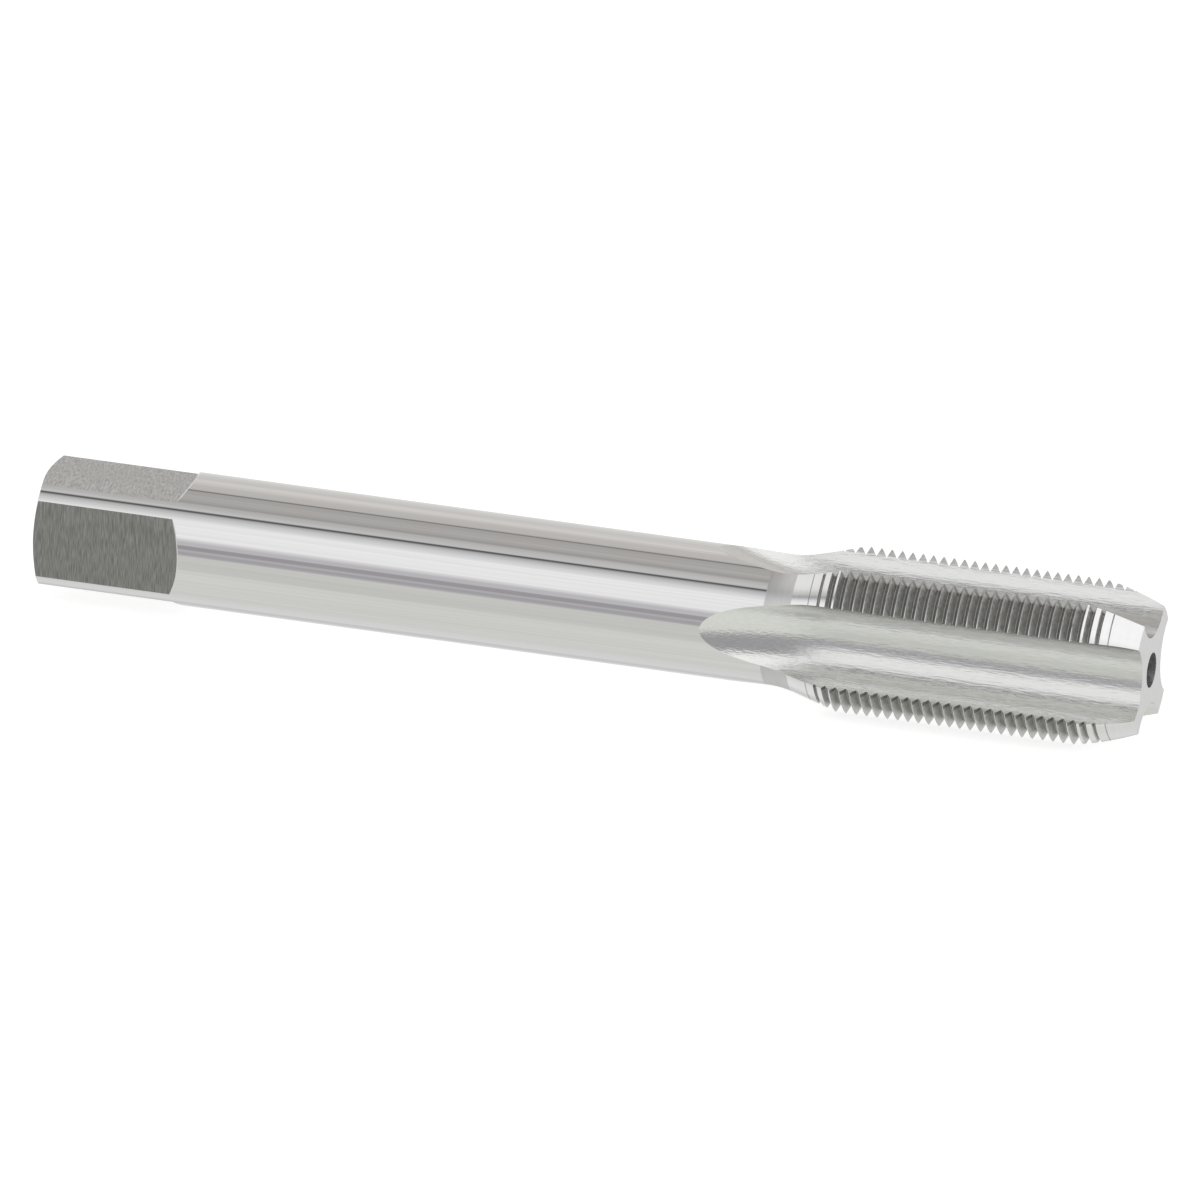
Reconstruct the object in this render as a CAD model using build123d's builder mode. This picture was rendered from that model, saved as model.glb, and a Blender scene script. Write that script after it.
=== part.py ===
from build123d import *
import os
from math import acos, cos, degrees, radians, sin, tan

# ---------------------------------------------------------------------------
# Driving dimensions, in millimetres.  The tap lies along X: the square that a
# tap wrench drives is at the -X end, and the cutting end points to +X.
# Places along the tap are measured from the square end.
# ---------------------------------------------------------------------------
overall_length = 80.0
shank_diameter = 9.4
shank_length = 52.9          # to the start of the neck

# Driving square, ground on four sides of the shank
square_size = 7.5            # across flats
square_length = 10.0
square_ramp_angle = 53.0     # the wheel leaves a steep shoulder
square_turn = 4.55           # the square is ground a little out of line with the flutes
end_chamfer_length = 0.3
end_chamfer_depth = 1.0

# Neck between the shank and the thread
neck_fillet_radius = 6.9
neck_cone_angle = 16.5       # the slope that rises to the thread

# Metric fine thread, right-hand
thread_diameter = 12.0
thread_pitch = 0.75
thread_angle = 60.0
crest_flat = 0.06
root_flat = 0.06
groove_phase = 77.9          # where a groove crosses the middle of the first land

# Tapered lead that starts the cut
lead_length = 4.5
lead_end_diameter = 9.46
lead_crown = 0.15            # the relieved lead bulges this much over a straight cone

# Flutes, ground by a wheel with a round rim
flute_count = 4
flute_radius = 3.0
flute_offset = 5.45          # from the tap's axis to the centre of the flute's arc
flute_setback = 6.3          # from the neck's start to where the flutes have their full depth
wheel_radius = 26.5

# Centre holes, one in each end, that held the blank for grinding
centre_hole_diameter = 2.5
centre_hole_depth = 5.0      # of the plain wall, without the drill's point
drill_point_angle = 118.0

spare = 1.0                  # how far a cutter reaches past what it cuts

# ---------------------------------------------------------------------------
# Worked-out sizes
# ---------------------------------------------------------------------------
shank_radius = shank_diameter / 2
thread_radius = thread_diameter / 2
lead_end_radius = lead_end_diameter / 2
lead_start = overall_length - lead_length
neck_slope = radians(neck_cone_angle)
flank_slope = tan(radians(thread_angle / 2))

# The neck's fillet is tangent to the shank and to the cone
cone_start = shank_length + neck_fillet_radius * sin(neck_slope)
cone_start_radius = shank_radius + neck_fillet_radius * (1 - cos(neck_slope))
cone_end = cone_start + (thread_radius - cone_start_radius) / tan(neck_slope)

# The groove narrows from the gap between two crests to the root flat.  Its
# cutter stands a little proud of the crests, but stays narrower than the pitch.
crest_gap = thread_pitch - crest_flat
root_radius = thread_radius - (crest_gap - root_flat) / 2 / flank_slope
cutter_radius = thread_radius + crest_flat / 4 / flank_slope
cutter_half_width = (crest_gap + crest_flat / 2) / 2

# The grooves begin where the cone rises past their root
thread_start = cone_start + (root_radius - cone_start_radius) / tan(neck_slope) - thread_pitch

drill_point_height = centre_hole_diameter / 2 / tan(radians(drill_point_angle / 2))

# Half the angle that a flute takes out of the thread's outside
flute_edge_height = (thread_radius**2 + flute_offset**2 - flute_radius**2) / (2 * flute_offset)
flute_half_angle = degrees(acos(flute_edge_height / thread_radius))

# Each land carries its own run of grooves, cut from flute to flute
land_spacing = 360 / flute_count
groove_half_angle = land_spacing / 2 - flute_half_angle / 2
flute_full_depth_from = shank_length + flute_setback
wheel_axis_height = flute_offset - flute_radius + wheel_radius

# At rest the edges of two lands touch the surface
axis_height = flute_edge_height

# ---------------------------------------------------------------------------
# Thread tap: one bar of tool steel, turned and then ground
# ---------------------------------------------------------------------------
with BuildPart() as blank:
    with BuildSketch(Plane.XZ):
        with BuildLine():
            Polyline(
                (overall_length, lead_end_radius),
                (overall_length, 0),
                (0, 0),
                (0, shank_radius - end_chamfer_depth),
                (end_chamfer_length, shank_radius),
                (shank_length, shank_radius),
            )
            RadiusArc(
                (shank_length, shank_radius),
                (cone_start, cone_start_radius),
                -neck_fillet_radius,
            )
            Polyline(
                (cone_start, cone_start_radius),
                (cone_end, thread_radius),
                (lead_start, thread_radius),
            )
            lead_middle = (
                overall_length - lead_length / 2,
                (thread_radius + lead_end_radius) / 2 + lead_crown,
            )
            ThreePointArc(
                (lead_start, thread_radius), lead_middle, (overall_length, lead_end_radius)
            )
        make_face()
    revolve(axis=Axis.X)

# One flat of the square, with the ramp at its end
with BuildPart() as flat_cutter:
    with BuildSketch(Plane.XZ):
        with BuildLine():
            flat_height = square_size / 2
            ramp_top = shank_radius + spare
            ramp_length = (ramp_top - flat_height) / tan(radians(square_ramp_angle))
            Polyline(
                (-spare, flat_height),
                (square_length, flat_height),
                (square_length + ramp_length, ramp_top),
                (-spare, ramp_top),
                close=True,
            )
        make_face()
    extrude(amount=ramp_top, both=True)

# One flute: a straight channel, and the arc that the wheel leaves at its end
with BuildPart() as flute_cutter:
    with BuildSketch(Plane.YZ.offset(flute_full_depth_from)) as flute_profile:
        with Locations((0, flute_offset)):
            Circle(flute_radius)
    extrude(amount=overall_length - flute_full_depth_from + spare)
    wheel_axis = Axis((flute_full_depth_from, 0, wheel_axis_height), (0, 1, 0))
    revolve(flute_profile.sketch, axis=wheel_axis, revolution_arc=90)

# One groove of the thread, across one land.  It is centred over +Z at x = 0.
with BuildPart() as groove_cutter:
    groove_lead = thread_pitch * groove_half_angle / 360
    with BuildLine() as groove_path:
        Helix(thread_pitch, 2 * groove_lead, root_radius, direction=(1, 0, 0))
    with BuildSketch(Plane(groove_path.line @ 0, x_dir=(1, 0, 0), z_dir=(0, -1, 0))):
        with BuildLine():
            cutter_height = cutter_radius - root_radius
            Polyline(
                (-root_flat / 2, 0),
                (root_flat / 2, 0),
                (cutter_half_width, cutter_height),
                (-cutter_half_width, cutter_height),
                close=True,
            )
        make_face()
    sweep(path=groove_path.line, is_frenet=True)

square_turns = [square_turn + side * 90 for side in range(4)]
flute_turns = [flute * land_spacing for flute in range(flute_count)]

# Where the grooves lie: one right-hand helix, met by each land a part turn further on
groove_places = []
for land in range(flute_count):
    land_turn = (land + 0.5) * land_spacing
    groove = groove_phase + thread_pitch * land / flute_count
    while groove > thread_start:
        groove -= thread_pitch
    while groove < overall_length:
        groove += thread_pitch
        groove_places.append(
            Location((groove - groove_lead, 0, 0), (land_turn - groove_half_angle, 0, 0))
        )

with BuildPart() as ground_tap:
    add(blank.part)
    with Locations([Location((0, 0, 0), (turn, 0, 0)) for turn in square_turns]):
        add(flat_cutter.part, mode=Mode.SUBTRACT)
    with Locations([Location((0, 0, 0), (turn, 0, 0)) for turn in flute_turns]):
        add(flute_cutter.part, mode=Mode.SUBTRACT)
    with Locations(Plane.YZ.offset(overall_length), Plane.YZ.reverse()):
        Hole(centre_hole_diameter / 2, centre_hole_depth)
        with Locations((0, 0, -centre_hole_depth)):
            Cone(
                0,
                centre_hole_diameter / 2,
                drill_point_height,
                align=(Align.CENTER, Align.CENTER, Align.MAX),
                mode=Mode.SUBTRACT,
            )
    with Locations(groove_places):
        add(groove_cutter.part, mode=Mode.SUBTRACT)

# The finished tap lies at rest, its middle over the origin
with BuildPart() as thread_tap:
    with Locations((-overall_length / 2, 0, axis_height)):
        add(ground_tap.part)

os.makedirs("parts", exist_ok=True)
thread_tap.part.label = "thread_tap"
export_step(thread_tap.part, "parts/thread_tap.step")
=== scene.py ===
from math import cos, pi, radians, sin, tan

import bpy
from mathutils import Matrix, Vector


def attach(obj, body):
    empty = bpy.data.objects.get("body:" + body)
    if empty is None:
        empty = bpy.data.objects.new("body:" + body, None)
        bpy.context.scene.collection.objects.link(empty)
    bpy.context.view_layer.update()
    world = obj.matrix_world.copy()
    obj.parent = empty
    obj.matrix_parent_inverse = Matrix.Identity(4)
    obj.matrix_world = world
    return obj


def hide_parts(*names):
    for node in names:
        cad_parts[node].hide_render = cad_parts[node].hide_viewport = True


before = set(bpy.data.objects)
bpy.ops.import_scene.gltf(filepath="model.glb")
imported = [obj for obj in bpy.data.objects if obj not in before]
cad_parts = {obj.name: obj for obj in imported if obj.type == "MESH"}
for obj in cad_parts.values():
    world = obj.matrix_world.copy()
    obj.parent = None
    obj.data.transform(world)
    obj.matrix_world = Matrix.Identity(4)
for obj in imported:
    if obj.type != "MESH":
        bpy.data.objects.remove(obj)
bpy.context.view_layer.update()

MM = 0.001

# ---------------------------------------------------------------------------
# Sizes of the tap in millimetres, and its angles in degrees.  Places along the
# tap are measured from the square end.
# ---------------------------------------------------------------------------
SIZES = {
    "overall length": 80.0,
    "axis height": 5.2021,
    "shank radius": 4.7,
    "shank length": 52.9,
    "square across flats": 7.5,
    "square length": 10.0,
    "square ramp angle": 53.0,
    "ramp edge bevel": 0.05,
    "square turn": 4.55,
    "end chamfer length": 0.3,
    "end chamfer depth": 1.0,
    "neck fillet radius": 6.9,
    "neck cone angle": 16.5,
    "thread radius": 6.0,
    "thread pitch": 0.75,
    "thread angle": 60.0,
    "crest flat": 0.06,
    "root flat": 0.06,
    "groove phase": 77.9,
    "lead length": 4.5,
    "lead end radius": 4.73,
    "lead crown": 0.15,
    "flute radius": 3.0,
    "flute offset": 5.45,
    "flute setback": 6.3,
    "wheel radius": 26.5,
    "centre hole radius": 1.25,
    "centre hole depth": 5.0,
    "drill point angle": 118.0,
}

FLUTES = 4
GROOVES = 30

# Quads round the tap, for each quarter: across the flute, then across the land.  Those at each
# side of a flute are for the teeth, and the land's first ones are the tips of its flanks, which
# get painted shade.  The land's are shared out between half a flat, a corner of the square and
# half the next flat.
FLUTE_QUADS = 28
TOOTH_QUADS = 3
TIP_QUADS = 2
HALF_FLAT_QUADS = 7
CORNER_QUADS = 4
LAND_QUADS = 2 * HALF_FLAT_QUADS + CORNER_QUADS
QUARTER_QUADS = FLUTE_QUADS + LAND_QUADS
ROUND_QUADS = FLUTES * QUARTER_QUADS
GROOVE_QUADS = 5

# Points of the mesh that are nearer than this, in mm, are one point.  Edges where its surface
# turns by fewer degrees than this look smooth.
SEAM_GAP = 0.0005
SMOOTH_ANGLE = 13.0

# About half of the angle of a land, over which its grooves follow the helix, in degrees
HALF_LAND_ANGLE = 15.0

# How much painted shade darkens parts of a groove, from nought to one: the tips of the flank
# that faces the cutting end, the root, and the whole of the other flank.
TIP_SHADE = 0.45
ROOT_SHADE = 0.4
FAR_FLANK_SHADE = 0.6

# The grooves between which the crests are narrow, because the thread has its full depth
FIRST_FULL_GROOVE = 4
LAST_FULL_GROOVE = 26

FINISHES = [
    "ground shank",
    "upper and lower flats",
    # The side flats' finish has darker colours than the upper and lower flats, as painted shade
    "side flats",
    "ramps",
    "neck",
    "thread flanks",
    "narrow crests",
    "lands",
    "flutes",
    "end faces",
    "centre holes",
]


# ---------------------------------------------------------------------------
# Node trees written as expressions
# ---------------------------------------------------------------------------
class Field:
    """A socket of a node tree.  Arithmetic on it adds the Math node that works it out."""

    def __init__(self, nodes, socket):
        self.nodes = nodes
        self.socket = socket

    def out(self, name):
        return Field(self.nodes, self.socket.node.outputs[name])

    def maths(self, operation, *values):
        return self.nodes.add("ShaderNodeMath", {"operation": operation}, dict(enumerate(values)))

    def __add__(self, other):
        return self.maths("ADD", self, other)

    def __radd__(self, other):
        return self.maths("ADD", other, self)

    def __sub__(self, other):
        return self.maths("SUBTRACT", self, other)

    def __rsub__(self, other):
        return self.maths("SUBTRACT", other, self)

    def __mul__(self, other):
        return self.maths("MULTIPLY", self, other)

    def __rmul__(self, other):
        return self.maths("MULTIPLY", other, self)

    def __truediv__(self, other):
        return self.maths("DIVIDE", self, other)

    def __rtruediv__(self, other):
        return self.maths("DIVIDE", other, self)

    def __neg__(self):
        return self.maths("MULTIPLY", self, -1.0)

    def squared(self):
        return self.maths("MULTIPLY", self, self)

    def root(self):
        return self.maths("SQRT", self.at_least(0.0))

    def at_least(self, other):
        return self.maths("MAXIMUM", self, other)

    def at_most(self, other):
        return self.maths("MINIMUM", self, other)

    def between(self, low, high):
        return self.at_least(low).at_most(high)

    def over(self, other):
        return self.maths("GREATER_THAN", self, other)

    def under(self, other):
        return self.maths("LESS_THAN", self, other)

    def is_near(self, other, reach=0.5):
        return self.maths("COMPARE", self, other, reach)

    def floor(self):
        return self.maths("FLOOR", self)

    def modulo(self, other):
        return self.maths("FLOORED_MODULO", self, other)

    def sin(self):
        return self.maths("SINE", self)

    def cos(self):
        return self.maths("COSINE", self)

    def tan(self):
        return self.maths("TANGENT", self)

    def arcsin(self):
        return self.maths("ARCSINE", self)

    def size(self):
        return self.maths("ABSOLUTE", self)

    def sign(self):
        return self.maths("SIGN", self)

    def arctan(self, other):
        return self.maths("ARCTAN2", self, other)

    def degrees_to_radians(self):
        return self.maths("RADIANS", self)


def blend(start, end, share):
    """The value that lies a share of the way from start to end."""
    return (end - start) * share + start


def finish_number(finish):
    return float(FINISHES.index(finish))


class Nodes:
    """Adds nodes to a tree, from their type, their settings and what goes into their sockets."""

    def __init__(self, tree):
        self.tree = tree

    def add(self, kind, settings=None, inputs=None, output=None):
        node = self.tree.nodes.new(kind)
        for name, value in (settings or {}).items():
            if name == "stops":
                self.set_stops(node.color_ramp, value)
            else:
                setattr(node, name, value)
        for name, value in (inputs or {}).items():
            values = value if isinstance(value, list) else [value]
            for one in values:
                if isinstance(one, Field):
                    self.tree.links.new(one.socket, node.inputs[name])
                else:
                    node.inputs[name].default_value = one
        if not node.outputs:
            return None
        if output is not None:
            return Field(self, node.outputs[output])
        return Field(self, next(socket for socket in node.outputs if socket.enabled))

    def set_stops(self, ramp, stops):
        while len(ramp.elements) < len(stops):
            ramp.elements.new(1.0)
        for element, (place, colour) in zip(ramp.elements, stops):
            element.position = place
            element.color = colour

    def mix_colours(self, share, first, second):
        return self.add("ShaderNodeMix", {"data_type": "RGBA"}, {0: share, 6: first, 7: second})

    def rise(self, value, start, end):
        """Nought before the start, one after the end, and an even curve between them."""
        return self.add(
            "ShaderNodeMapRange",
            {"interpolation_type": "SMOOTHSTEP"},
            {"Value": value, "From Min": start, "From Max": end},
        )

    def out_from_axis(self):
        """The vector to here, straight out from the tap's axis."""
        place = self.add("ShaderNodeTexCoord", output="Object")
        middle = (0.0, 0.0, SIZES["axis height"] * MM)
        offset = self.add("ShaderNodeVectorMath", {"operation": "SUBTRACT"}, {0: place, 1: middle})
        crosswise = (0.0, 1.0, 1.0)
        return self.add("ShaderNodeVectorMath", {"operation": "MULTIPLY"}, {0: offset, 1: crosswise})

    def round_normal(self):
        """The normal of a true cylinder round the tap's axis."""
        return self.add(
            "ShaderNodeVectorTransform",
            {"vector_type": "NORMAL", "convert_from": "OBJECT", "convert_to": "WORLD"},
            {"Vector": self.out_from_axis()},
        )

    def grain(self, lengths):
        """Noise from nought to one, whose grains have these lengths along x, y and z, in mm."""
        place = self.add("ShaderNodeTexCoord", output="Object")
        stretch = tuple(1.0 / (length * MM) for length in lengths)
        stretched = self.add("ShaderNodeVectorMath", {"operation": "MULTIPLY"}, {0: place, 1: stretch})
        return self.add("ShaderNodeTexNoise", {}, {"Vector": stretched, "Scale": 1.0, "Detail": 2.0})


# ---------------------------------------------------------------------------
# The ground tap: rings of points, each joined to the next by a span of quads
# ---------------------------------------------------------------------------
class TapShape(Nodes):
    """The tap's surface.  A point is (along, out, across): its place along the tap, and in
    the cross-section its distance from the axis along the middle of its quarter's flute,
    and sideways from there."""

    def __init__(self, tree):
        super().__init__(tree)
        self.spans = []
        entry = tree.nodes.new("NodeGroupInput")
        for name, value in SIZES.items():
            socket = tree.interface.new_socket(name, in_out="INPUT", socket_type="NodeSocketFloat")
            socket.default_value = value
        for name in SIZES:
            setattr(self, name.replace(" ", "_"), Field(self, entry.outputs[name]))
        self.work_out_sizes()
        self.work_out_columns()

    def work_out_sizes(self):
        slope = self.neck_cone_angle.degrees_to_radians()
        self.neck_rise = slope.tan()
        self.neck_run = self.neck_fillet_radius * slope.sin()
        self.cone_start = self.shank_length + self.neck_run
        self.flank = (self.thread_angle / 2).degrees_to_radians().tan()
        self.groove_root = self.thread_radius - (
            (self.thread_pitch - self.crest_flat - self.root_flat) / 2 / self.flank
        )
        self.lead_start = self.overall_length - self.lead_length
        self.full_depth_from = self.shank_length + self.flute_setback
        self.wheel_height = self.flute_offset - self.flute_radius + self.wheel_radius
        self.rim_height = self.wheel_height - self.flute_offset
        floor = self.flute_offset - self.flute_radius
        run_out = (
            self.wheel_radius.squared()
            - (self.wheel_radius - self.shank_radius + floor).squared()
        ).root()
        self.flute_tip = self.full_depth_from - run_out
        half_point_angle = (self.drill_point_angle / 2).degrees_to_radians()
        self.drill_point_height = self.centre_hole_radius / half_point_angle.tan()
        self.flat_height = self.square_across_flats / 2
        self.flat_reach = (
            (self.shank_radius.squared() - self.flat_height.squared()).root() / self.shank_radius
        ).arcsin()

    def work_out_columns(self):
        """Which row and column of its span a point is in, and where that is round the tap."""
        index = self.add("GeometryNodeInputIndex")
        self.row = (index / (ROUND_QUADS + 1.0)).floor()
        column = index - self.row * (ROUND_QUADS + 1.0)
        self.quarter = (column / float(QUARTER_QUADS)).floor()
        local = column - self.quarter * float(QUARTER_QUADS)
        from_middle = local.at_most(float(FLUTE_QUADS)) - FLUTE_QUADS / 2
        smooth_quads = FLUTE_QUADS / 2 - TOOTH_QUADS
        self.flute_side = from_middle.sign()
        self.flute_share = (from_middle.size() / smooth_quads).at_most(1.0)
        self.tooth_share = ((from_middle.size() - smooth_quads) / float(TOOTH_QUADS)).at_least(0.0)
        self.land_column = (local - float(FLUTE_QUADS)).at_least(0.0)
        self.land_share = self.land_column / float(LAND_QUADS)
        self.on_land = local.over(FLUTE_QUADS + 0.5)
        self.turn = (self.quarter * (360.0 / FLUTES)).degrees_to_radians()
        self.helix_shift = self.work_out_helix_shift()
        self.square_angle = self.work_out_square_angle()
        face_row = (index / float(ROUND_QUADS)).floor()
        face_column = index - face_row * float(ROUND_QUADS)
        face_quarter = (face_column / float(QUARTER_QUADS)).floor()
        face_local = face_column - face_quarter * float(QUARTER_QUADS)
        self.face_in_flute = 1.0 - face_local.over(FLUTE_QUADS - 0.5)
        groove_part = face_row.modulo(float(GROOVE_QUADS))
        self.face_in_groove = groove_part.over(0.5) * (1.0 - groove_part.over(3.5))
        # Painted shade on the thread: the flank tips at a land's start, the root and the far flank are
        # darkened in colour
        at_tooth_tip = 1.0 - face_local.over(FLUTE_QUADS + TIP_QUADS - 0.5)
        self.painted_groove_shade = (
            groove_part.is_near(1.0) * at_tooth_tip * TIP_SHADE
            + groove_part.is_near(2.0) * ROOT_SHADE
            + groove_part.is_near(3.0) * FAR_FLANK_SHADE
        )
        self.face_at_full_depth = face_row.over(FIRST_FULL_GROOVE * GROOVE_QUADS - 1.5) * (
            1.0 - face_row.over(LAST_FULL_GROOVE * GROOVE_QUADS - 1.5)
        )
        past_first_flat = face_local.over(FLUTE_QUADS + HALF_FLAT_QUADS - 0.5)
        past_corner = face_local.over(FLUTE_QUADS + HALF_FLAT_QUADS + CORNER_QUADS - 0.5)
        self.face_on_corner = past_first_flat - past_corner
        # Side flats take the darker, painted-shade colours of their own finish
        self.face_on_side_flat = (face_quarter + past_corner).modulo(2.0)

    def work_out_helix_shift(self):
        """How far along the tap a groove has moved at each column, and back over each flute
        to where the next land takes it up."""
        half_land = HALF_LAND_ANGLE / 360.0
        land_shift = (self.land_share * 2.0 - 1.0) * half_land + self.quarter * (1.0 / FLUTES)
        land_before = (self.quarter + (FLUTES - 1.0)).modulo(float(FLUTES)) * (1.0 / FLUTES)
        land_after = self.quarter.modulo(float(FLUTES)) * (1.0 / FLUTES)
        share = self.flute_side * self.flute_share * 0.5 + 0.5
        flute_shift = blend(land_before + half_land, land_after - half_land, share)
        return blend(flute_shift, land_shift, self.on_land) * self.thread_pitch

    def work_out_square_angle(self):
        """Angles round the shank that put columns on the edges of the square's flats."""
        quarter_turn = 2 * pi / FLUTES
        turn = self.square_turn.degrees_to_radians()
        first_edge = turn + self.flat_reach
        last_edge = turn + quarter_turn - self.flat_reach
        first = (self.land_column / float(HALF_FLAT_QUADS)).between(0.0, 1.0)
        corner = ((self.land_column - HALF_FLAT_QUADS) / float(CORNER_QUADS)).between(0.0, 1.0)
        last = (self.land_column - (HALF_FLAT_QUADS + CORNER_QUADS)) / float(HALF_FLAT_QUADS)
        return (
            first_edge * first
            + (last_edge - first_edge) * corner
            + (quarter_turn - last_edge) * last.between(0.0, 1.0)
        )

    def outside_radius(self, along):
        """Radius of the turned blank from the shank's middle to the cutting end."""
        into_neck = (along - self.shank_length).between(0.0, self.neck_run)
        fillet = self.neck_fillet_radius - (
            self.neck_fillet_radius.squared() - into_neck.squared()
        ).root()
        cone = (along - self.cone_start).at_least(0.0) * self.neck_rise
        into_lead = ((along - self.lead_start) / self.lead_length).at_least(0.0)
        lead = (
            self.thread_radius
            - (self.thread_radius - self.lead_end_radius) * into_lead
            + self.lead_crown * 4.0 * into_lead * (1.0 - into_lead)
        )
        return (self.shank_radius + fillet + cone).at_most(self.thread_radius).at_most(lead)

    def before_full_depth(self, along):
        return (self.full_depth_from - along).at_least(0.0)

    def flute_half_width(self, along, radius):
        """Half the width that the flute's opening has at a radius, nought before its tip."""
        before = self.before_full_depth(along).squared()
        wheel = self.wheel_height.squared()
        rim = self.rim_height.squared()
        sum_of_squares = self.flute_radius.squared() + wheel + rim - before - radius.squared()
        a = (wheel - rim) * 4.0
        b = self.rim_height * 4.0 * (wheel * 2.0 - sum_of_squares)
        c = wheel * 4.0 * (rim - before) - sum_of_squares.squared()
        depth = ((b.squared() - a * c * 4.0).root() - b) / (a * 2.0)
        return (self.flute_radius.squared() - depth.squared()).root()

    def flute_floor(self, along, across):
        """How far from the axis the ground surface of the flute lies."""
        rim = self.rim_height + (self.flute_radius.squared() - across.squared()).root()
        return self.wheel_height - (rim.squared() - self.before_full_depth(along).squared()).root()

    def fluted(self, along, radius, smooth_radius):
        """The point of the fluted body in this column.  Inside a flute, columns keep to a
        smooth radius, so that only the teeth at its two sides follow the grooves."""
        edge = self.flute_half_width(along, radius)
        edge_angle = (edge / radius).arcsin()
        land_angle = edge_angle + (2 * pi / FLUTES - edge_angle * 2.0) * self.land_share
        outer_arc = (edge / self.flute_radius).arcsin()
        inner_arc = (self.flute_half_width(along, smooth_radius) / self.flute_radius).arcsin()
        arc = inner_arc * self.flute_share + (outer_arc - inner_arc) * self.tooth_share
        flute_across = self.flute_radius * arc.sin() * self.flute_side
        flute_out = self.flute_floor(along, flute_across).at_most(
            (radius.squared() - flute_across.squared()).root()
        )
        out = blend(flute_out, radius * land_angle.cos(), self.on_land)
        across = blend(flute_across, radius * land_angle.sin(), self.on_land)
        return along, out, across

    def round_ring(self, along, radius, angle):
        return along, radius * angle.cos(), radius * angle.sin()

    def span(self, finish, quads, place, shade=0.0):
        """Quads along the tap, where place gives the point for a share of the way along, and shade is
        the painted shade stored on their faces.
        """
        grid = self.add(
            "GeometryNodeMeshGrid", {}, {"Vertices X": quads + 1, "Vertices Y": ROUND_QUADS + 1}
        )
        along, out, across = place(self.row / float(quads))
        position = self.add(
            "ShaderNodeCombineXYZ",
            {},
            {
                "X": (along - self.overall_length / 2) * MM,
                "Y": (out * self.turn.sin() + across * self.turn.cos()) * -MM,
                "Z": (out * self.turn.cos() - across * self.turn.sin() + self.axis_height) * MM,
            },
        )
        placed = self.add(
            "GeometryNodeSetPosition", {}, {"Geometry": grid, "Position": position}
        )
        marked = self.add(
            "GeometryNodeStoreNamedAttribute",
            {"data_type": "FLOAT", "domain": "FACE"},
            {"Geometry": placed, "Name": "finish", "Value": finish},
        )
        # Painted shade that darkens the colour of some thread faces, nought elsewhere
        shaded = self.add(
            "GeometryNodeStoreNamedAttribute",
            {"data_type": "FLOAT", "domain": "FACE"},
            {"Geometry": marked, "Name": "shade", "Value": shade},
        )
        self.spans.append(shaded)

    def fluted_finish(self, finish):
        return blend(finish_number(finish), finish_number("flutes"), self.face_in_flute)

    def square_end_hole(self, angle):
        """The centre hole in the square end, from the point of its drill to its mouth."""
        floor = self.centre_hole_depth
        self.span(
            finish_number("centre holes"),
            quads=4,
            place=lambda share: self.round_ring(
                floor + self.drill_point_height * (1.0 - share), self.centre_hole_radius * share, angle
            ),
        )
        self.span(
            finish_number("centre holes"),
            quads=8,
            place=lambda share: self.round_ring(
                floor * (1.0 - share), self.centre_hole_radius, angle
            ),
        )

    def square_end(self):
        """The centre hole, the end face, the chamfer and the flats."""
        angle = self.square_angle
        quarter_turn = 2 * pi / FLUTES
        from_flat = (
            angle - self.square_turn.degrees_to_radians() + quarter_turn / 2
        ).modulo(quarter_turn) - quarter_turn / 2
        flat_radius = (self.flat_height / from_flat.cos()).at_most(self.shank_radius)
        face_radius = self.shank_radius - self.end_chamfer_depth
        chamfer_along = (
            (flat_radius - face_radius) * self.end_chamfer_length / self.end_chamfer_depth
        )
        # The side flats take a darker colour as painted shade
        flats = blend(
            finish_number("upper and lower flats"),
            finish_number("side flats"),
            self.face_on_side_flat,
        )
        square_finish = blend(flats, finish_number("ground shank"), self.face_on_corner)
        self.square_end_hole(angle)
        self.span(
            finish_number("end faces"),
            quads=6,
            place=lambda share: self.round_ring(
                0.0, blend(self.centre_hole_radius, face_radius, share), angle
            ),
        )
        self.span(
            finish_number("end faces"),
            quads=2,
            place=lambda share: self.round_ring(
                chamfer_along * share, blend(face_radius, flat_radius, share), angle
            ),
        )
        self.span(
            square_finish,
            quads=12,
            place=lambda share: self.round_ring(
                blend(chamfer_along, self.square_length, share), flat_radius, angle
            ),
        )
        rise = (self.shank_radius * from_flat.cos() - self.flat_height).at_least(0.0)
        ramp_top = self.square_length + rise / self.square_ramp_angle.degrees_to_radians().tan()
        bevel = rise.at_most(self.ramp_edge_bevel)
        ramp_share = 1.0 - bevel / rise.at_least(self.ramp_edge_bevel)
        bevel_foot = blend(self.square_length, ramp_top, ramp_share)
        bevel_radius = blend(flat_radius, self.shank_radius, ramp_share)
        self.span(
            finish_number("ramps"),
            quads=2,
            place=lambda share: self.round_ring(
                blend(self.square_length, bevel_foot, share),
                blend(flat_radius, bevel_radius, share),
                angle,
            ),
        )
        self.span(
            finish_number("ramps"),
            quads=1,
            place=lambda share: self.round_ring(
                blend(bevel_foot, ramp_top + bevel, share),
                blend(bevel_radius, self.shank_radius, share),
                angle,
            ),
        )
        even_angle = self.land_share * quarter_turn
        self.span(
            finish_number("ground shank"),
            quads=40,
            place=lambda share: self.round_ring(
                blend(ramp_top + bevel, self.flute_tip, share),
                self.shank_radius,
                blend(angle, even_angle, share),
            ),
        )

    def fluted_body(self):
        """The shank beside the flutes' run-out, the neck, the thread and the lead."""

        def smooth(along):
            radius = self.outside_radius(along)
            return self.fluted(along, radius, radius.at_most(self.groove_root))

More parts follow.
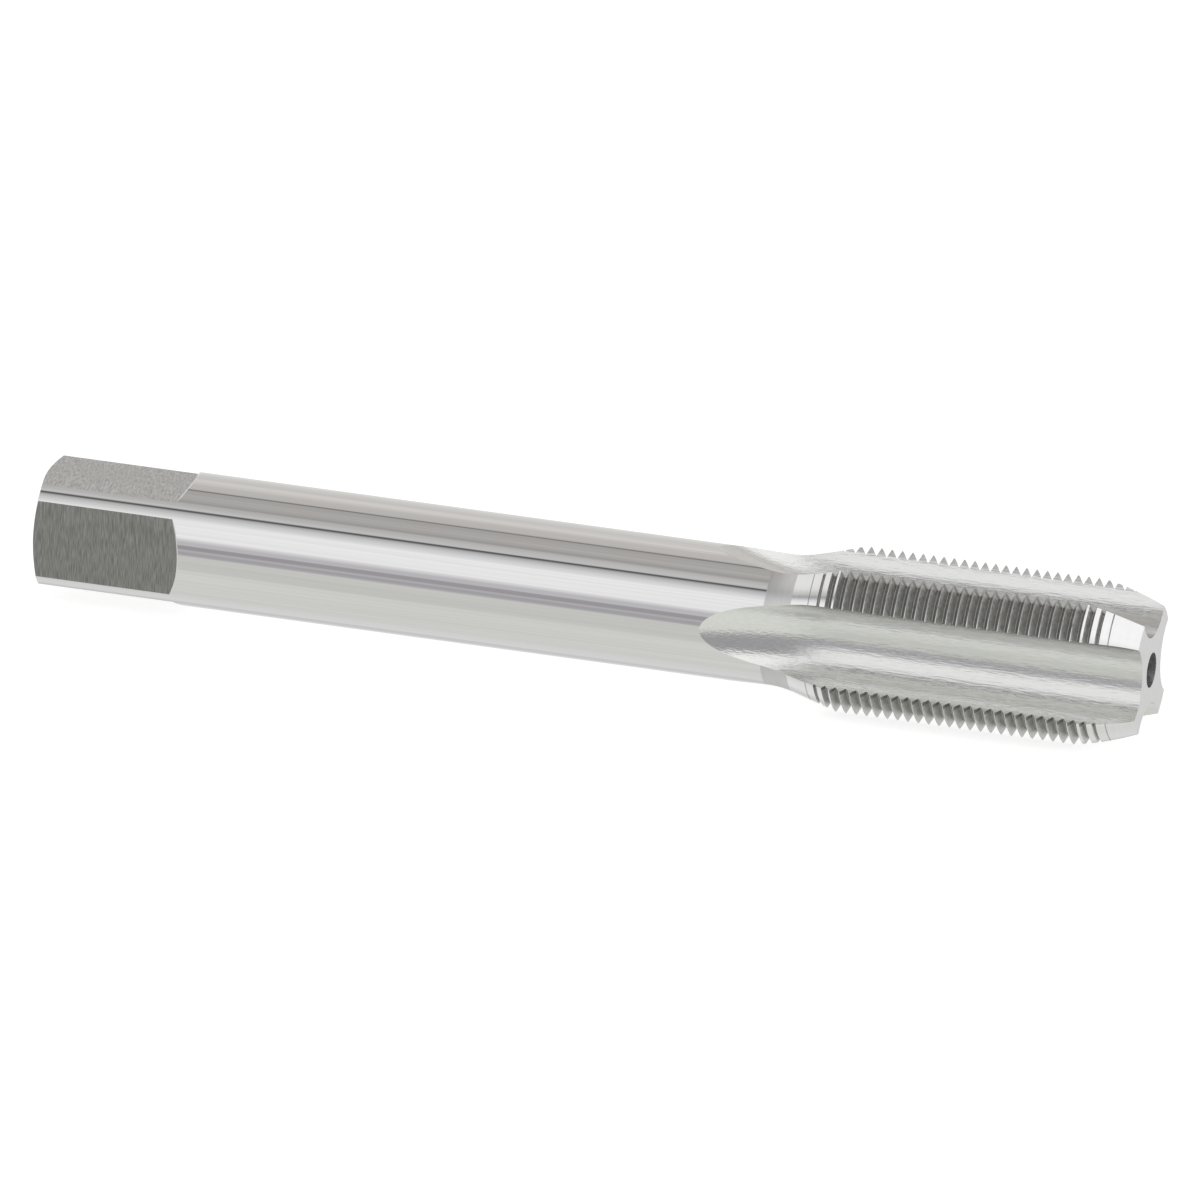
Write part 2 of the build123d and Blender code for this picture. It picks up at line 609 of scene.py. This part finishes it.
        self.span(
            self.fluted_finish("ground shank"),
            quads=30,
            place=lambda share: smooth(blend(self.flute_tip, self.shank_length, share.squared())),
        )
        first_groove = (
            self.groove_phase - self.thread_pitch * (GROOVES - 1.0) + self.helix_shift
        )
        self.span(
            self.fluted_finish("neck"),
            quads=8,
            place=lambda share: smooth(blend(self.shank_length, self.cone_start, share)),
        )
        self.span(
            self.fluted_finish("lands"),
            quads=4,
            place=lambda share: smooth(
                blend(self.cone_start, first_groove - self.thread_pitch / 2, share)
            ),
        )
        crest = blend(
            finish_number("lands"), finish_number("narrow crests"), self.face_at_full_depth
        )
        crest_or_groove = blend(crest, finish_number("thread flanks"), self.face_in_groove)
        self.span(
            blend(crest_or_groove, finish_number("flutes"), self.face_in_flute),
            quads=GROOVE_QUADS * GROOVES,
            place=lambda share: self.thread_point(first_groove),
            # The thread's faces carry their painted shade
            shade=self.painted_groove_shade,
        )
        last_groove = first_groove + self.thread_pitch * (GROOVES - 0.5)
        self.span(
            self.fluted_finish("lands"),
            quads=8,
            place=lambda share: smooth(blend(last_groove, self.overall_length, share)),
        )

    def thread_point(self, first_groove):
        """A point of the thread.  Each groove has five rows: mid-crest, the top and foot of
        one flank, and the foot and top of the other."""
        groove = (self.row / float(GROOVE_QUADS)).floor()
        part = self.row - groove * float(GROOVE_QUADS)
        middle = first_groove + self.thread_pitch * groove
        half_pitch = self.thread_pitch / 2
        half_root = self.root_flat / 2
        radius_here = self.outside_radius(middle)
        rise_before = (radius_here - self.outside_radius(middle - half_pitch)) / half_pitch
        rise_after = (self.outside_radius(middle + half_pitch) - radius_here) / half_pitch
        depth = (radius_here - self.groove_root + half_root / self.flank).at_least(
            half_root / self.flank
        )
        reach_before = depth / (1.0 / self.flank + rise_before)
        reach_after = depth / (1.0 / self.flank - rise_after)
        offset = (
            part.is_near(0.0) * -half_pitch
            - part.is_near(1.0) * reach_before
            - part.is_near(2.0) * half_root
            + part.is_near(3.0) * half_root
            + part.is_near(4.0) * reach_after
        )
        along = middle + offset
        outside = self.outside_radius(along)
        in_root = part.is_near(2.5, 0.6)
        smooth_radius = outside.at_most(self.groove_root)
        return self.fluted(along, blend(outside, smooth_radius, in_root), smooth_radius)

    def cutting_end(self):
        """The end face between the flutes, and its centre hole."""
        end = self.overall_length
        radius = self.outside_radius(end)
        _, out, across = self.fluted(end, radius, radius.at_most(self.groove_root))
        angle = across.arctan(out)
        hole_out = self.centre_hole_radius * angle.cos()
        hole_across = self.centre_hole_radius * angle.sin()
        self.span(
            finish_number("end faces"),
            quads=6,
            place=lambda share: (end, blend(out, hole_out, share), blend(across, hole_across, share)),
        )
        floor = end - self.centre_hole_depth
        self.span(
            finish_number("centre holes"),
            quads=8,
            place=lambda share: self.round_ring(
                blend(end, floor, share), self.centre_hole_radius, angle
            ),
        )
        self.span(
            finish_number("centre holes"),
            quads=4,
            place=lambda share: self.round_ring(
                floor - self.drill_point_height * share, self.centre_hole_radius * (1.0 - share), angle
            ),
        )

    def finish(self, materials):
        """Joins the spans, closes their seams, turns the faces outward and gives each its finish."""
        joined = self.add("GeometryNodeJoinGeometry", {}, {"Geometry": self.spans})
        merged = self.add(
            "GeometryNodeMergeByDistance", {}, {"Geometry": joined, "Distance": SEAM_GAP * MM}
        )
        outward = self.add("GeometryNodeFlipFaces", {}, {"Mesh": merged})
        smoothed = self.add("GeometryNodeSetShadeSmooth", {"domain": "FACE"}, {"Geometry": outward})
        edge_angle = self.add("GeometryNodeInputMeshEdgeAngle", output="Unsigned Angle")
        shaded = self.add(
            "GeometryNodeSetShadeSmooth",
            {"domain": "EDGE"},
            {
                "Geometry": smoothed,
                "Shade Smooth": edge_angle.under(radians(SMOOTH_ANGLE)),
            },
        )
        painted = self.add("GeometryNodeRealizeInstances", {}, {"Geometry": shaded})
        mark = self.add(
            "GeometryNodeInputNamedAttribute", {"data_type": "FLOAT"}, {"Name": "finish"}
        )
        for number, finish in enumerate(FINISHES):
            painted = self.add(
                "GeometryNodeSetMaterial",
                {},
                {
                    "Geometry": painted,
                    "Selection": mark.is_near(float(number), 0.1),
                    "Material": materials[finish],
                },
            )
        self.tree.interface.new_socket(
            "Geometry", in_out="OUTPUT", socket_type="NodeSocketGeometry"
        )
        self.add("NodeGroupOutput", {}, {"Geometry": painted})


def make_tap(materials):
    """The whole tap as one closed mesh, in the place of the CAD solid."""
    tree = bpy.data.node_groups.new("ground tap", "GeometryNodeTree")
    shape = TapShape(tree)
    shape.square_end()
    shape.fluted_body()
    shape.cutting_end()
    shape.finish(materials)
    rough = bpy.data.objects.new("tap_shape", bpy.data.meshes.new("tap_shape"))
    bpy.context.scene.collection.objects.link(rough)
    modifier = rough.modifiers.new("ground tap", "NODES")
    modifier.node_group = tree
    for item in tree.interface.items_tree:
        if item.in_out == "INPUT":
            modifier[item.identifier] = SIZES[item.name]
    evaluated = rough.evaluated_get(bpy.context.evaluated_depsgraph_get())
    mesh = bpy.data.meshes.new_from_object(evaluated)
    mesh.name = "ground_tap"
    bpy.data.objects.remove(rough)
    tap = bpy.data.objects.new("ground_tap", mesh)
    bpy.context.scene.collection.objects.link(tap)
    return tap


# ---------------------------------------------------------------------------
# Finishes
# ---------------------------------------------------------------------------
def grey(brightness, tint=(1.0, 1.0, 1.0)):
    """The colour of a brightness from nought to one, as the eye sees it, with a tint."""
    level = ((brightness + 0.055) / 1.055) ** 2.4
    return tuple(level * part for part in tint) + (1.0,)


def metal(name, colour_pair, roughness_pair, grain_lengths, grain_height, form="plain"):
    """Bare steel.  Its grain goes between the two colours and the two roughnesses, and stands
    as high as it says, in mm.  A round form is shaded as a true cylinder.  The form for the
    thread's flanks mixes painted shade into the colour, as far as its shade attribute says."""
    material = bpy.data.materials.new(name)
    material.use_nodes = True
    material.node_tree.nodes.clear()
    nodes = Nodes(material.node_tree)
    grain = nodes.grain(grain_lengths)
    share = nodes.rise(grain, 0.3, 0.7)
    colour = nodes.mix_colours(share, *colour_pair)
    bump = {"Height": grain, "Distance": grain_height * MM}
    if form == "round":
        bump["Normal"] = nodes.round_normal()
    if form == "groove_painted_shade":
        # Painted shade: the colour is mixed towards dark grey by the shade attribute on the faces
        shade = nodes.add("ShaderNodeAttribute", {"attribute_name": "shade"}, output="Fac")
        colour = nodes.mix_colours(shade, colour, grey(0.1))
    roughness = blend(*roughness_pair, share)
    normal = nodes.add("ShaderNodeBump", {}, bump)
    surface = nodes.add(
        "ShaderNodeBsdfPrincipled",
        {},
        {"Base Color": colour, "Metallic": 1.0, "Roughness": roughness, "Normal": normal},
    )
    nodes.add("ShaderNodeOutputMaterial", {}, {"Surface": surface})
    return material


def make_materials():
    return {
        "ground shank": metal(
            "ground_shank",
            (grey(0.95), grey(0.98)),
            (0.01, 0.03),
            (40.0, 0.12, 0.12),
            0.0003,
            form="round",
        ),
        # The upper and lower flats and the side flats are the same cross-ground steel; the side flats'
        # darker colours are painted shade
        "upper and lower flats": metal(
            "cross_ground_flats",
            (grey(0.71, (0.99, 1.0, 0.99)), grey(0.89, (0.99, 1.0, 0.99))),
            (0.3, 0.4),
            (0.06, 0.5, 0.5),
            0.004,
        ),
        "side flats": metal(
            "cross_ground_side_flats_painted_shade",
            (grey(0.52, (1.0, 1.0, 0.96)), grey(0.66, (1.0, 1.0, 0.97))),
            (0.3, 0.4),
            (0.06, 0.9, 0.9),
            0.004,
        ),
        "ramps": metal(
            "ground_ramps",
            (grey(0.95), grey(0.97)),
            (0.1, 0.2),
            (0.2, 0.6, 0.6),
            0.001,
        ),
        "neck": metal(
            "turned_neck",
            (grey(0.84), grey(0.86)),
            (0.3, 0.34),
            (0.2, 2.0, 2.0),
            0.0005,
        ),
        # The thread's flanks carry painted shade from their shade attribute
        "thread flanks": metal(
            "thread_flanks",
            (grey(0.82, (1.0, 1.0, 0.97)), grey(0.9, (1.0, 1.0, 0.97))),
            (0.35, 0.5),
            (0.1, 0.25, 0.25),
            0.005,
            form="groove_painted_shade",
        ),
        "narrow crests": metal(
            "narrow_crests",
            (grey(0.86), grey(0.9)),
            (0.2, 0.25),
            (0.3, 2.0, 2.0),
            0.0003,
        ),
        "lands": metal(
            "ground_lands",
            (grey(0.975), grey(0.985)),
            (0.14, 0.15),
            (0.3, 2.0, 2.0),
            0.00002,
        ),
        "flutes": metal(
            "ground_flutes",
            (grey(0.94, (0.995, 1.0, 0.98)), grey(0.96, (0.995, 1.0, 0.98))),
            (0.12, 0.18),
            (1.0, 0.12, 0.12),
            0.018,
        ),
        "end faces": metal(
            "ground_ends",
            (grey(0.88), grey(0.91)),
            (0.35, 0.45),
            (0.3, 0.3, 0.3),
            0.002,
        ),
        "centre holes": metal(
            "drilled_centres",
            (grey(0.96), grey(0.98)),
            (0.2, 0.3),
            (1.0, 1.0, 1.0),
            0.001,
        ),
    }


# ---------------------------------------------------------------------------
# Camera, light and floor
# ---------------------------------------------------------------------------
FRAME_PIXELS = 1200
PIXELS_PER_MM = 14.33
CAMERA_AZIMUTH = 14.2        # degrees from straight ahead, towards the cutting end
CAMERA_ELEVATION = 17.7
CAMERA_ROLL = 3.4
TAP_MIDDLE_PIXEL = (599.2, 594.5)
CAMERA_DISTANCE = 0.5


def make_camera():
    azimuth = radians(CAMERA_AZIMUTH)
    elevation = radians(CAMERA_ELEVATION)
    toward = Vector((sin(azimuth) * cos(elevation), -cos(azimuth) * cos(elevation), sin(elevation)))
    level = Vector((cos(azimuth), sin(azimuth), 0.0))
    roll = Matrix.Rotation(radians(CAMERA_ROLL), 3, toward)
    right = roll @ level
    up = toward.cross(right)
    middle = Vector((0.0, 0.0, SIZES["axis height"] * MM))
    shift_right = (FRAME_PIXELS / 2 - TAP_MIDDLE_PIXEL[0]) / PIXELS_PER_MM * MM
    shift_up = (TAP_MIDDLE_PIXEL[1] - FRAME_PIXELS / 2) / PIXELS_PER_MM * MM
    data = bpy.data.cameras.new("camera")
    data.type = "ORTHO"
    data.ortho_scale = FRAME_PIXELS / PIXELS_PER_MM * MM
    camera = bpy.data.objects.new("camera", data)
    place = middle + right * shift_right + up * shift_up + toward * CAMERA_DISTANCE
    camera.matrix_world = Matrix.Translation(place) @ Matrix((right, up, toward)).transposed().to_4x4()
    bpy.context.scene.collection.objects.link(camera)
    bpy.context.scene.camera = camera


# The studio that the polished shank mirrors in long bands.  Each band has its angle round the
# tap, in degrees from straight up towards the camera's side, its brightness and its tint.
NEUTRAL = (1.0, 1.0, 1.0)
WARM = (1.0, 0.965, 0.94)
GREENISH = (0.99, 1.0, 0.955)
MAUVE = (1.0, 0.975, 1.02)
STUDIO_BANDS = [
    (-180.0, 0.82, GREENISH),
    (-152.0, 0.85, NEUTRAL),
    (-140.0, 0.77, NEUTRAL),
    (-125.0, 0.865, NEUTRAL),
    (-108.0, 0.90, NEUTRAL),
    (-88.0, 0.85, GREENISH),
    (-61.0, 0.79, WARM),
    (-46.0, 0.83, WARM),
    (-36.0, 0.76, WARM),
    (-22.0, 0.73, WARM),
    (-20.0, 0.42, WARM),
    (-17.5, 0.66, WARM),
    (0.0, 0.69, WARM),
    (8.0, 0.62, WARM),
    (12.0, 0.72, WARM),
    (23.0, 0.77, NEUTRAL),
    (24.2, 0.30, NEUTRAL),
    (26.0, 0.30, NEUTRAL),
    (28.5, 0.70, NEUTRAL),
    (44.0, 0.925, NEUTRAL),
    (71.0, 0.93, NEUTRAL),
    (80.0, 0.73, MAUVE),
    (84.5, 0.76, MAUVE),
    (86.0, 0.61, MAUVE),
    (91.5, 0.60, MAUVE),
    (93.5, 0.72, MAUVE),
    (97.0, 0.64, MAUVE),
    (101.5, 0.66, MAUVE),
    (104.0, 0.79, GREENISH),
    (126.0, 0.78, GREENISH),
    (136.0, 0.83, GREENISH),
    (180.0, 0.82, GREENISH),
]

# Panels that only what leans towards an end of the tap mirrors.  Each fades in between two
# values of the direction's part along the tap, and over its first and last pair of angles.
# Then come its brightness, its tint and how much it hides of the bands.
STUDIO_PANELS = [
    (-0.1, 0.1, (98.0, 112.0), (168.0, 180.0), 0.86, GREENISH, 0.9),
    (-0.1, 0.08, (42.0, 54.0), (84.0, 98.0), 0.62, MAUVE, 1.0),
    (-0.15, 0.1, (-34.0, -6.0), (34.0, 48.0), 1.0, NEUTRAL, 0.92),
    (-0.3, -0.5, (-95.0, -70.0), (8.0, 20.0), 1.0, NEUTRAL, 0.62),
    (-0.3, -0.5, (22.0, 38.0), (62.0, 80.0), 1.0, NEUTRAL, 0.62),
    (-0.38, -0.46, (-178.0, -165.0), (-140.0, -125.0), 1.0, NEUTRAL, 0.2),
]


def make_world():
    """A white studio with long panels along the tap.  Only what the tap mirrors has bands."""
    world = bpy.data.worlds.new("studio")
    bpy.context.scene.world = world
    world.use_nodes = True
    world.node_tree.nodes.clear()
    nodes = Nodes(world.node_tree)
    direction = nodes.add("ShaderNodeTexCoord", output="Generated")
    split = nodes.add("ShaderNodeSeparateXYZ", {}, {"Vector": direction})
    along = split.out("X")
    angle = (-split.out("Y")).arctan(split.out("Z")) * (180.0 / pi)
    turn = angle / 360.0 + 0.5
    stops = [((angle + 180.0) / 360.0, grey(level, tint)) for angle, level, tint in STUDIO_BANDS]
    mirrored = nodes.add("ShaderNodeValToRGB", {"stops": stops}, {"Fac": turn})
    for fade_start, fade_end, first, last, level, tint, strength in STUDIO_PANELS:
        share = nodes.rise(along, fade_start, fade_end) * nodes.rise(angle, *first)
        share = share * (1.0 - nodes.rise(angle, *last)) * strength
        mirrored = nodes.mix_colours(share, mirrored, grey(level, tint))
    seen = nodes.add("ShaderNodeLightPath", output="Is Camera Ray")
    colour = nodes.mix_colours(seen, mirrored, (1.0, 1.0, 1.0, 1.0))
    lit = nodes.add("ShaderNodeBackground", {}, {"Color": colour, "Strength": 1.0})
    nodes.add("ShaderNodeOutputWorld", {}, {"Surface": lit})


FLOOR_SIZE = 6.0             # in metres
FLOOR_LEVEL = -0.02          # in mm, just clear of the tap
FLOOR_GREY = 0.6
FLOOR_GLOW = 0.72


def make_floor():
    """A white floor that keeps a soft shadow.  The tap mirrors the studio through it."""
    mesh = bpy.data.meshes.new("floor")
    half = FLOOR_SIZE / 2
    level = FLOOR_LEVEL * MM
    corners = [(-half, -half, level), (half, -half, level), (half, half, level), (-half, half, level)]
    mesh.from_pydata(corners, [], [(0, 1, 2, 3)])
    floor = bpy.data.objects.new("floor", mesh)
    bpy.context.scene.collection.objects.link(floor)
    material = bpy.data.materials.new("white_floor")
    material.use_nodes = True
    material.node_tree.nodes.clear()
    nodes = Nodes(material.node_tree)
    path = nodes.add("ShaderNodeLightPath")
    opened = path.out("Is Glossy Ray").at_least(path.out("Is Transmission Ray"))
    opened = opened.at_least(path.out("Is Shadow Ray"))
    matt = nodes.add("ShaderNodeBsdfDiffuse", {}, {"Color": (FLOOR_GREY, FLOOR_GREY, FLOOR_GREY, 1.0)})
    glow = nodes.add("ShaderNodeEmission", {}, {"Strength": FLOOR_GLOW})
    surface = nodes.add("ShaderNodeAddShader", {}, {0: matt, 1: glow})
    clear = nodes.add("ShaderNodeBsdfTransparent")
    mixed = nodes.add("ShaderNodeMixShader", {}, {0: opened, 1: surface, 2: clear})
    nodes.add("ShaderNodeOutputMaterial", {}, {"Surface": mixed})
    mesh.materials.append(material)


scene = bpy.context.scene
scene.view_settings.view_transform = "Standard"
make_camera()
make_world()
make_floor()
tap = make_tap(make_materials())
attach(tap, "root")
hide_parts("thread_tap")
